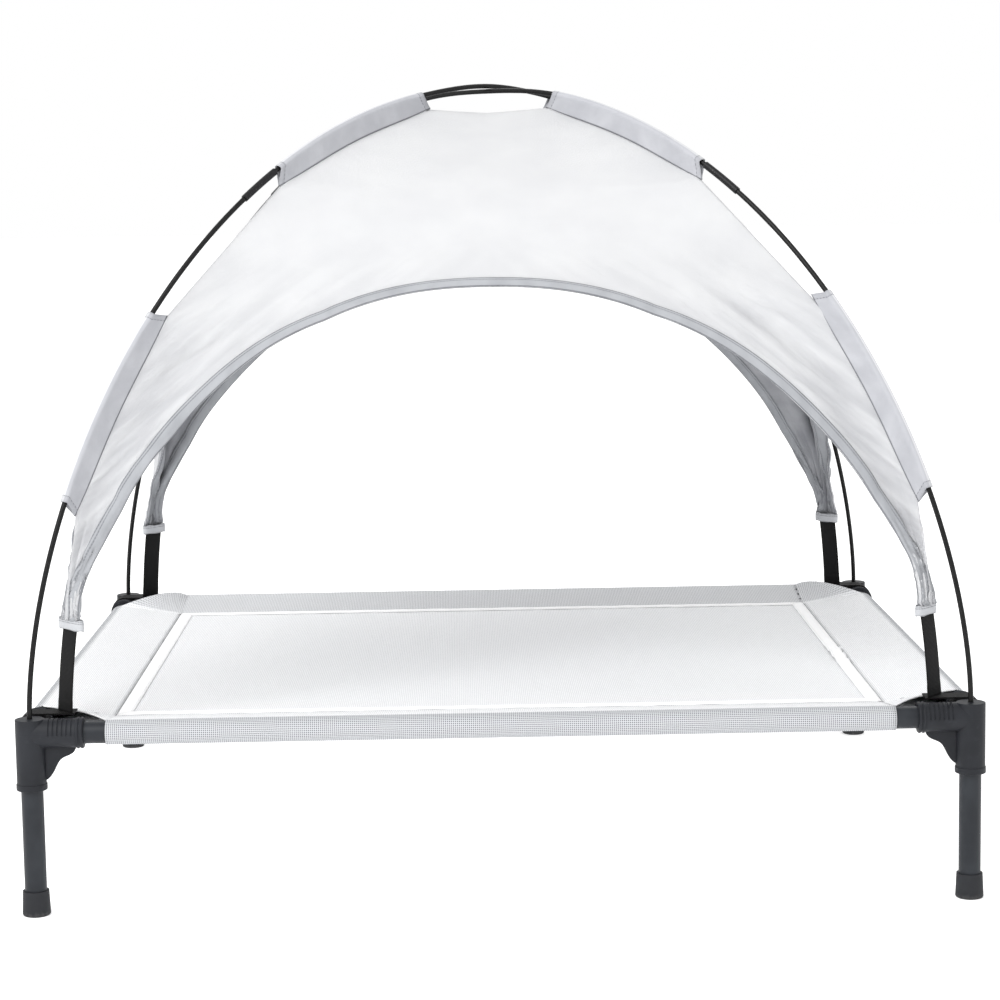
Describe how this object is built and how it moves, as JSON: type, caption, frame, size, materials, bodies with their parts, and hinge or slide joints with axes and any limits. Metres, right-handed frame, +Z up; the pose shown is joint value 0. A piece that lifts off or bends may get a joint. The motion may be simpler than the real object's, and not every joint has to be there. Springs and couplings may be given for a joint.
{
  "type": "raised pet bed with shade",
  "caption": "Raised mesh sling pet bed on a tube frame with corner connectors, and a lift-off arched fabric shade on crossing bowed poles.",
  "frame": {"origin": "on the floor under the middle of the bed", "axes": "+X to the right along the width, +Y to the rear, +Z up; the front is at -Y"},
  "size_m": [0.9234, 0.762, 0.7895],
  "materials": {
    "connector_plastic": "satin moulded anthracite",
    "tube_steel": "satin powder coat, anthracite",
    "foot_rubber": "matt rubber",
    "sling_mesh": "open woven coated mesh, off-white",
    "border_tape": "smooth woven binding tape, white",
    "strap_webbing": "ribbed elastic webbing, black",
    "ferrule_metal": "black coated tube",
    "pole_fibreglass": "smooth black fibreglass rod",
    "shade_fabric": "plain-weave polyester, pale grey"
  },
  "bodies": {
    "bed": {"connector_front_left": "connector_plastic", "connector_front_right": "connector_plastic", "connector_rear_left": "connector_plastic", "connector_rear_right": "connector_plastic", "leg_front_left": "tube_steel", "leg_front_right": "tube_steel", "leg_rear_left": "tube_steel", "leg_rear_right": "tube_steel", "foot_cap_front_left": "foot_rubber", "foot_cap_front_right": "foot_rubber", "foot_cap_rear_left": "foot_rubber", "foot_cap_rear_right": "foot_rubber", "rail_front": "tube_steel", "rail_rear": "tube_steel", "rail_left": "tube_steel", "rail_right": "tube_steel", "sling_centre": "sling_mesh", "border_tape": "border_tape", "sling_sleeve_front": "sling_mesh", "sling_sleeve_rear": "sling_mesh", "sling_sleeve_left": "sling_mesh", "sling_sleeve_right": "sling_mesh", "sling_corner_webs": "sling_mesh", "strap_loop_front_left": "strap_webbing", "strap_loop_front_right": "strap_webbing", "strap_loop_rear_left": "strap_webbing", "strap_loop_rear_right": "strap_webbing", "strap_front_left": "strap_webbing", "strap_front_right": "strap_webbing", "strap_rear_left": "strap_webbing", "strap_rear_right": "strap_webbing"},
    "shade": {"pole_a_front": "pole_fibreglass", "pole_a_middle": "pole_fibreglass", "pole_a_rear": "pole_fibreglass", "pole_b_front": "pole_fibreglass", "pole_b_middle": "pole_fibreglass", "pole_b_rear": "pole_fibreglass", "ferrule_pole_a_front": "ferrule_metal", "ferrule_pole_a_rear": "ferrule_metal", "ferrule_pole_b_front": "ferrule_metal", "ferrule_pole_b_rear": "ferrule_metal", "pole_sleeve_upper_front_left": "shade_fabric", "pole_sleeve_upper_front_right": "shade_fabric", "pole_sleeve_upper_rear_left": "shade_fabric", "pole_sleeve_upper_rear_right": "shade_fabric", "pole_sleeve_lower_front_left": "shade_fabric", "pole_sleeve_lower_front_right": "shade_fabric", "pole_sleeve_lower_rear_left": "shade_fabric", "pole_sleeve_lower_rear_right": "shade_fabric", "canopy_panel_front": "shade_fabric", "canopy_panel_rear": "shade_fabric", "canopy_panel_left": "shade_fabric", "canopy_panel_right": "shade_fabric", "leg_cuff_front_left": "shade_fabric", "leg_cuff_front_right": "shade_fabric", "leg_cuff_rear_left": "shade_fabric", "leg_cuff_rear_right": "shade_fabric"}
  },
  "joints": [
    {"name": "shade_lift", "type": "slide", "parent": "bed", "child": "shade", "axis": [0, 0, 1], "range_m": [0, 0.03], "deforming": ["strap_front_left", "strap_front_right", "strap_rear_left", "strap_rear_right"]}
  ]
}
